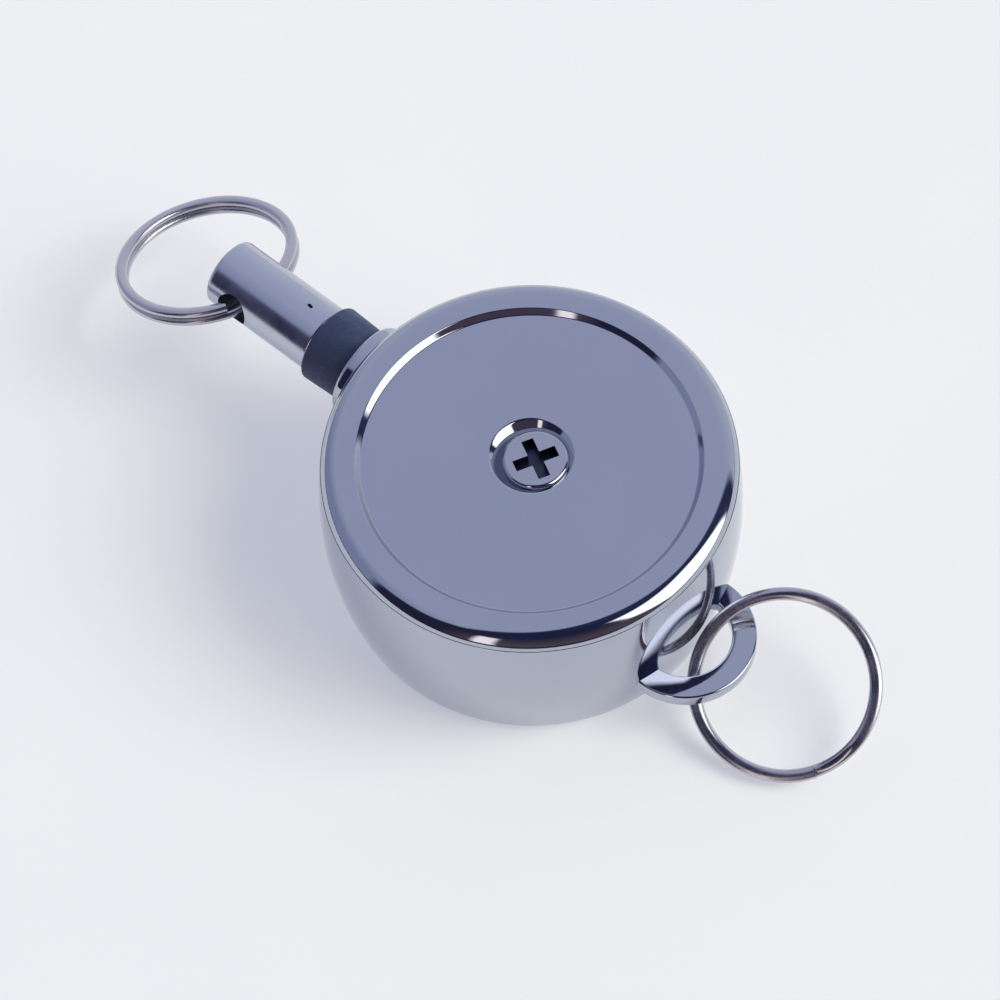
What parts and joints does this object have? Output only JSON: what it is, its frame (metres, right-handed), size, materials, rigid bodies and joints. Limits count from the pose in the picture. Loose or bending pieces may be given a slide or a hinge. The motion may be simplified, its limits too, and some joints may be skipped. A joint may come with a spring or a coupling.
{
  "type": "retractable badge reel",
  "caption": "Round metal retractable badge reel: spring-wound cord drum in a deep case, end fitting with split ring, lug with split ring.",
  "frame": {"origin": "centre of the flat back of the case, on the reel's axis", "axes": "+Z along the reel's axis to the front cover, +X to the anchor lug, -X along the cord outlet"},
  "size_m": [0.0728, 0.0326, 0.016],
  "materials": {
    "polished_case": "polished black-nickel plate over zinc casting",
    "polished_cover": "polished black-nickel plate",
    "screw_plate": "nickel plated steel",
    "eyelet": "turned brass, lightly polished",
    "post_steel": "turned steel",
    "washer_plastic": "natural acetal",
    "spring_steel": "blued spring steel strip",
    "drum_plastic": "moulded black acetal",
    "bush_brass": "turned brass",
    "spring_cover_steel": "stamped steel disc",
    "cord": "nylon coated steel wire rope",
    "crimp_metal": "pressed aluminium ferrule",
    "bumper_rubber": "matte blue-black moulded rubber",
    "fitting_plate": "polished nickel plate over brass bar",
    "ring_steel": "nickel plated spring steel wire"
  },
  "bodies": {
    "case": {"case_shell": "polished_case", "front_cover": "polished_cover", "cover_screw": "screw_plate", "outlet_bushing": "eyelet", "centre_post": "post_steel", "lower_thrust_washer": "washer_plastic", "upper_thrust_washer": "washer_plastic", "power_spring": "spring_steel"},
    "drum": {"cord_drum": "drum_plastic", "drum_bush": "bush_brass", "spring_cover": "spring_cover_steel", "cord_coils": "cord", "drum_crimp": "crimp_metal"},
    "cord_end": {"cord_run": "cord", "end_crimp": "crimp_metal", "rubber_bumper": "bumper_rubber", "end_fitting": "fitting_plate"},
    "key_ring": {"key_ring": "ring_steel"},
    "anchor_ring": {"anchor_ring": "ring_steel"}
  },
  "joints": [
    {"name": "cord_pull", "type": "slide", "parent": "case", "child": "cord_end", "axis": [-1, 0, 0], "range_m": [0, 0.6], "stiffness_N_per_m": 1, "springref_m": -0.6, "deforming": ["cord_run"]},
    {"name": "drum_spin", "type": "hinge", "parent": "case", "child": "drum", "pos_m": [0, 0, 0.01], "axis": [0, 0, 1], "range_deg": [0, 3244], "deforming": ["power_spring"]},
    {"name": "key_ring_swing", "type": "hinge", "parent": "cord_end", "child": "key_ring", "pos_m": [-0.02855, 0, 0.0109], "axis": [0, 0.9903, -0.1392], "range_deg": [-120, 160]},
    {"name": "anchor_ring_swing", "type": "hinge", "parent": "case", "child": "anchor_ring", "pos_m": [0.01906, -0.00042, 0.00345], "axis": [0.6868, 0.004, -0.7268], "range_deg": [0, 120]}
  ],
  "couplings": [
    {"joint": "drum_spin", "follows": "cord_pull", "rad_per_m": 94.34}
  ]
}
